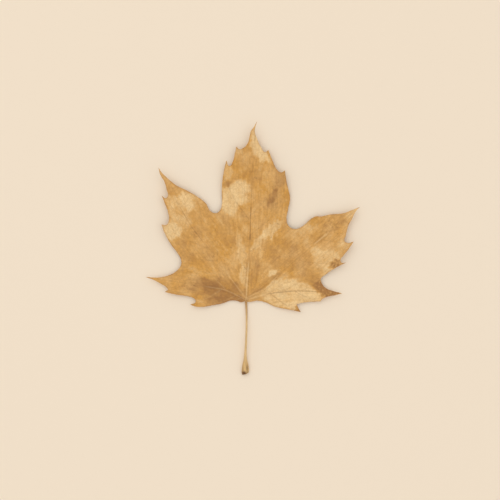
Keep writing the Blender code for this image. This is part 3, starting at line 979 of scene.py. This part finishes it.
# From under the blade to the scar: x, y, height of the middle, half width, half height. The last
# rings turn back into the foot, which makes the hollow scar.
STALK = [
    (0.3, 6.5, 1.25, 0.3, 0.24),
    (0.15, 3.0, 1.06, 0.6, 0.56),
    (0.1, 0.6, 0.97, 0.82, 0.82),
    (0.1, -1.2, 0.96, 0.76, 0.84),
    (0.2, -4.0, 1.12, 0.66, 0.72),
    (0.4, -10.0, 1.7, 0.62, 0.66),
    (0.4, -18.0, 2.7, 0.64, 0.68),
    (0.1, -27.0, 3.2, 0.68, 0.72),
    (-0.3, -35.0, 2.72, 0.78, 0.8),
    (-0.4, -38.5, 2.32, 0.94, 0.92),
    (-0.42, -41.3, 1.98, 1.2, 1.08),
    (-0.44, -43.4, 1.74, 1.7, 1.3),
    (-0.46, -45.5, 1.58, 2.2, 1.44),
    (-0.48, -48.0, 1.53, 2.56, 1.49),
    (-0.5, -50.0, 1.47, 2.5, 1.4),
    (-0.52, -51.1, 1.42, 2.1, 1.2),
    (-0.52, -51.35, 1.4, 1.7, 0.95),
    (-0.52, -50.95, 1.4, 1.3, 0.7),
    (-0.52, -50.6, 1.4, 0.7, 0.36),
]
STALK_STEP = 0.4
STALK_SIDES = 48
SCAR_SLANT = 0.3
SCAR_SLANT_FROM = -44.0
SCAR_SLANT_FULL_AT = -49.0
CHANNEL_DEPTH = 0.14
CHANNEL_HALF_ANGLE = 0.5
CHANNEL_TOP = (-2.0, -7.0)
CHANNEL_BOTTOM = (-45.0, -39.0)
WRINKLE_DEPTH = 0.05
FLUTES = 7
FLUTE_SHARE = 0.5
FLUTE_TWIST_LENGTH = 9.0
CREASE_SHARE = 1.6
CREASES_ROUND = 2.4
CREASE_LENGTH = 6.0

stalk_course = smooth_course(STALK, STALK_STEP)
angles = np.arange(STALK_SIDES) * 2 * math.pi / STALK_SIDES
from_top = np.minimum(angles, 2 * math.pi - angles)
stalk_steps = np.linalg.norm(np.diff(stalk_course[:, :3], axis=0), axis=1)
stalk_length = np.concatenate(([0.0], np.cumsum(stalk_steps)))
stalk_rings = []
for (cx, cy, cz, half_width, half_height), travelled in zip(stalk_course, stalk_length):
    flutes = np.cos(FLUTES * angles + travelled / FLUTE_TWIST_LENGTH)
    round_stalk = CREASES_ROUND * np.column_stack((np.sin(angles), np.cos(angles)))
    creases = np.array([noise.noise((a, b, travelled / CREASE_LENGTH)) for a, b in round_stalk])
    shape = 1.0 + WRINKLE_DEPTH * (flutes * FLUTE_SHARE + creases * CREASE_SHARE)
    channel = CHANNEL_DEPTH * ramp(cy, *CHANNEL_TOP) * ramp(cy, *CHANNEL_BOTTOM)
    shape -= channel * np.exp(-((from_top / CHANNEL_HALF_ANGLE) ** 2))
    sideways = half_width * shape * np.sin(angles)
    slant = SCAR_SLANT * ramp(cy, SCAR_SLANT_FROM, SCAR_SLANT_FULL_AT) * sideways
    height = np.maximum(cz + half_height * shape * np.cos(angles), LOWEST)
    stalk_rings.append(np.column_stack((cx + sideways, cy + slant, height)))
stalk_points = np.concatenate(stalk_rings)
ring_count = len(stalk_rings)

# Texture layout: the bark opened out flat, with the two end caps in a strip above it.
BARK_UV_TOP = 0.94
CAP_UV_CENTRES = ((0.1, 0.97), (0.2, 0.97))
CAP_UV_RADIUS = 0.025
stalk_faces = []
stalk_uv = []
ring_uv = np.linspace(0.0, BARK_UV_TOP, ring_count)
for ring in range(ring_count - 1):
    for side in range(STALK_SIDES):
        beside = (side + 1) % STALK_SIDES
        near, far = ring * STALK_SIDES, (ring + 1) * STALK_SIDES
        stalk_faces.append((near + side, near + beside, far + beside, far + side))
        left, right = side / STALK_SIDES, (side + 1) / STALK_SIDES
        stalk_uv += [(left, ring_uv[ring]), (right, ring_uv[ring])]
        stalk_uv += [(right, ring_uv[ring + 1]), (left, ring_uv[ring + 1])]
stalk_faces.append(tuple(range(STALK_SIDES))[::-1])
stalk_faces.append(tuple((ring_count - 1) * STALK_SIDES + side for side in range(STALK_SIDES)))
for cap_u, cap_v in CAP_UV_CENTRES:
    stalk_uv += [(cap_u + CAP_UV_RADIUS * math.cos(a), cap_v + CAP_UV_RADIUS * math.sin(a)) for a in angles]

stalk_mesh = bpy.data.meshes.new("leaf_stalk")
stalk_mesh.from_pydata(stalk_points * MM, [], stalk_faces)
stalk_mesh.shade_smooth()
stalk_mesh.uv_layers.new(name="OFBake").data.foreach_set("uv", np.array(stalk_uv, np.float32).ravel())
leaf_stalk = bpy.data.objects.new("leaf_stalk", stalk_mesh)
leaf_stalk.location = FOOT
bpy.context.scene.collection.objects.link(leaf_stalk)

# Where the bark's colours start and are full, by y, and dark spots on the foot: x, y, half width,
# half length, strength.
NEAR_BLADE = (-16.0, -1.0)
NEAR_FOOT = (-36.0, -44.0)
DARK_END = (-49.0, -53.0)
DARK_END_MOST = 0.6
FOOT_SPOTS = ((0.8, -47.0, 0.6, 2.2, 0.8), (-1.5, -50.4, 1.2, 1.1, 1.0), (-2.2, -47.5, 0.5, 2.0, 0.5))
stalk_x, stalk_y, _ = stalk_points.T
darkened = np.minimum(ramp(stalk_y, *DARK_END), DARK_END_MOST)
for spot_x, spot_y, half_width, half_length, strength in FOOT_SPOTS:
    across, along = (stalk_x - spot_x) / half_width, (stalk_y - spot_y) / half_length
    darkened += strength * np.exp(-(across**2) - along**2)
set_point_values(stalk_mesh, "near_blade", ramp(stalk_y, *NEAR_BLADE))
set_point_values(stalk_mesh, "near_foot", ramp(stalk_y, *NEAR_FOOT))
set_point_values(stalk_mesh, "dark_end", np.clip(darkened, 0.0, 1.0))

# Dried stalk skin: straw-brown bark, dull, in lengthwise fibres. It is darker where it meets the
# blade, tan along the middle, and brown with darker brown spots at the scar.
stalk_skin = bpy.data.materials.new("dried_stalk_skin")
stalk_skin.use_nodes = True
skin = stalk_skin.node_tree
skin.nodes.clear()
place = add_node(skin, "TexCoord").outputs["Object"]

# Its fibres are 0.35 mm wide and 7 mm long.
in_fibres = [(0, place), (1, (across_mm(0.35), across_mm(7.0), across_mm(0.35)))]
fibre_place = add_node(skin, "VectorMath", in_fibres, operation="MULTIPLY").outputs["Vector"]
fibre_noise = [("Vector", fibre_place), ("Scale", 1.0), ("Detail", 4.0)]
fibres = add_node(skin, "TexNoise", fibre_noise).outputs["Fac"]
grooves = add_node(skin, "Bump", [("Strength", 0.6), ("Distance", 0.00012), ("Height", fibres)])

bark = colour("#DBB984")
for name, code in (("near_blade", "#B78E5B"), ("near_foot", "#D6B178"), ("dark_end", "#6F4C2C")):
    amount = add_node(skin, "Attribute", attribute_name=name).outputs["Fac"]
    layer = [(FACTOR, amount), (COLOUR_A, bark), (COLOUR_B, colour(code))]
    bark = add_node(skin, "Mix", layer, data_type="RGBA").outputs[MIXED]
streak_range = [("Value", fibres), ("From Min", 0.3), ("From Max", 0.7), ("To Min", 0.74), ("To Max", 1.16)]
streaked = add_node(skin, "MapRange", streak_range).outputs["Result"]
shaded = [(FACTOR, 1.0), (COLOUR_A, bark), (COLOUR_B, streaked)]
bark = add_node(skin, "Mix", shaded, data_type="RGBA", blend_type="MULTIPLY").outputs[MIXED]
surface = [("Base Color", bark), ("Roughness", 0.66), ("Specular IOR Level", 0.35)]
surface.append(("Normal", grooves.outputs["Normal"]))
shader = add_node(skin, "BsdfPrincipled", surface)
add_node(skin, "OutputMaterial", [("Surface", shader.outputs["BSDF"])])
stalk_mesh.materials.append(stalk_skin)

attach(leaf_stalk, "root")
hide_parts("maple_leaf")


# ---------------------------------------------------------------------------------------------
# The surface: a plain pale matt studio cove. Its floor turns up all round into a low wall, so that
# low views have no horizon. It isn't part of the leaf.
# ---------------------------------------------------------------------------------------------

# Radii of the level floor's disc and of the whole flat, then the bend up from it.
COVE_LEVEL = 0.8
COVE_FLAT = 0.9
COVE_BEND = 1.5
COVE_TURN = math.radians(62.0)
COVE_SIDES = 96
COVE_STEPS = 24
cove_profile = [(COVE_LEVEL, 0.0)]
for turned in np.linspace(0.0, COVE_TURN, COVE_STEPS):
    cove_profile.append((COVE_FLAT + COVE_BEND * math.sin(turned), COVE_BEND * (1.0 - math.cos(turned))))
cove_points = []
cove_faces = [tuple(range(COVE_SIDES))]
for ring, (out, height) in enumerate(cove_profile):
    for side in range(COVE_SIDES):
        turn = 2 * math.pi * side / COVE_SIDES
        cove_points.append((out * math.cos(turn), out * math.sin(turn), height))
        if ring:
            far, beside = ring * COVE_SIDES + side, ring * COVE_SIDES + (side + 1) % COVE_SIDES
            cove_faces.append((far - COVE_SIDES, far, beside, beside - COVE_SIDES))
cove_mesh = bpy.data.meshes.new("pale_cove")
cove_mesh.from_pydata(cove_points, [], cove_faces)
cove_mesh.shade_smooth()
cove = bpy.data.objects.new("pale_cove", cove_mesh)
bpy.context.scene.collection.objects.link(cove)
matt_paint = bpy.data.materials.new("matt_cream_paint")
matt_paint.use_nodes = True
paint_shader = matt_paint.node_tree.nodes["Principled BSDF"]
paint_shader.inputs["Base Color"].default_value = colour("#F0E2CF")
paint_shader.inputs["Roughness"].default_value = 0.95
paint_shader.inputs["Specular IOR Level"].default_value = 0.1
cove_mesh.materials.append(matt_paint)


# ---------------------------------------------------------------------------------------------
# Studio light: an even pale sky and two large softboxes, the stronger at the upper left, so that
# the relief shows and the shadow under the curled lobes stays faint. Colours come out as mixed.
# ---------------------------------------------------------------------------------------------

bpy.context.scene.view_settings.view_transform = "Standard"
world = bpy.data.worlds.new("even_sky")
world.use_nodes = True
sky = world.node_tree.nodes["Background"]
sky.inputs["Color"].default_value = colour("#FFFCF7")
sky.inputs["Strength"].default_value = 0.7
bpy.context.scene.world = world

# Each softbox: its name, place and watts. Both are wide and face the leaf.
SOFTBOX_WIDTH = 2.4
SOFTBOXES = (
    ("softbox_upper_left", Vector((-0.6, 0.5, 1.8)), 12.0),
    ("softbox_lower_right", Vector((0.7, -0.6, 1.8)), 6.5),
)
for name, spot, watts in SOFTBOXES:
    lamp = bpy.data.lights.new(name, "AREA")
    lamp.size = SOFTBOX_WIDTH
    lamp.energy = watts
    softbox = bpy.data.objects.new(name, lamp)
    softbox.location = spot
    softbox.rotation_euler = (-spot).to_track_quat("-Z", "Y").to_euler()
    bpy.context.scene.collection.objects.link(softbox)


# ---------------------------------------------------------------------------------------------
# Camera: straight above, the leaf upright in a square view 350 mm wide.
# ---------------------------------------------------------------------------------------------

VIEW_WIDTH = 0.35
VIEW_CENTRE = FOOT + Vector((2.8, 35.7, 4.0)) * MM
camera_data = bpy.data.cameras.new("camera")
camera_data.lens = 135.0
camera_data.sensor_width = 36.0
camera = bpy.data.objects.new("camera", camera_data)
camera_height = VIEW_WIDTH * camera_data.lens / camera_data.sensor_width
camera.location = VIEW_CENTRE + Vector((0.0, 0.0, camera_height))
bpy.context.scene.collection.objects.link(camera)
bpy.context.scene.camera = camera
